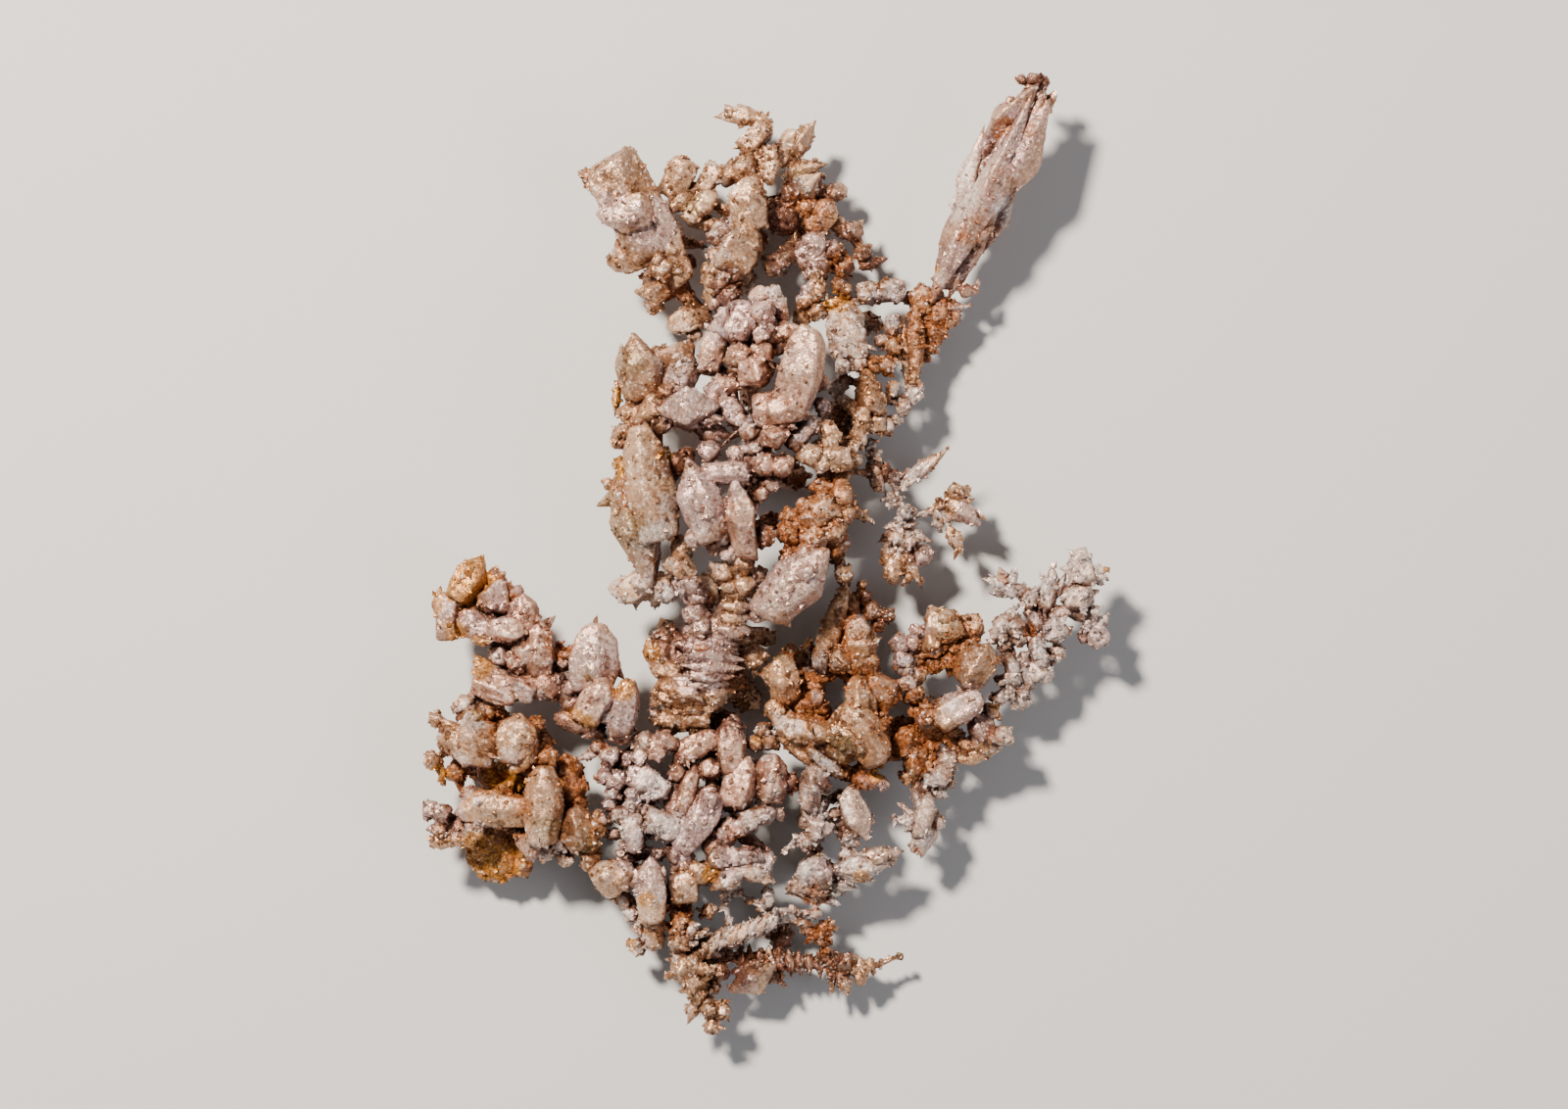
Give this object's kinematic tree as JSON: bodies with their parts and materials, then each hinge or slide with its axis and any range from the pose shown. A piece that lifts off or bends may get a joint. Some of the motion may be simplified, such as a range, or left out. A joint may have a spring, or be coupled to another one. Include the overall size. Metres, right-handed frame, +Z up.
{
  "type": "native copper specimen",
  "caption": "Branching native copper nugget: blunt and pointed copper crystals grown together along forked stems, lying on its back.",
  "frame": {"origin": "bottom centre of the bounding box, on the plane that the specimen lies on", "axes": "+Z up, away from the side it lies on; +Y along its length, towards the crown and the long blade; +X across it, towards the spray of fine twigs"},
  "size_m": [0.1122, 0.1572, 0.0292],
  "materials": {
    "native_copper_tan": "satin native copper with a thin brown oxide skin",
    "native_copper_pink": "satin native copper, pale pink where the skin is thinnest",
    "native_copper_rust": "rough copper stained orange brown by iron and cuprite",
    "native_copper_grey": "dull copper under a grey film"
  },
  "bodies": {
    "root": {"core_stem": "native_copper_tan", "upper_left_arm": "native_copper_tan", "upper_crown": "native_copper_tan", "left_column": "native_copper_tan", "right_centre": "native_copper_tan", "small_right_sprays": "native_copper_tan", "bottom_left_arm": "native_copper_tan", "bottom_mass": "native_copper_tan", "upper_right_blade": "native_copper_pink", "centre_crystals": "native_copper_pink", "lower_left_upper_arm": "native_copper_pink", "lower_centre": "native_copper_pink", "right_upper_chain": "native_copper_rust", "lower_left_cluster": "native_copper_rust", "mid_right_column": "native_copper_rust", "right_arm": "native_copper_rust", "inner_left_chain": "native_copper_grey", "right_spray": "native_copper_grey", "lower_right_spear": "native_copper_grey", "bottom_right_twigs": "native_copper_grey"}
  },
  "joints": []
}
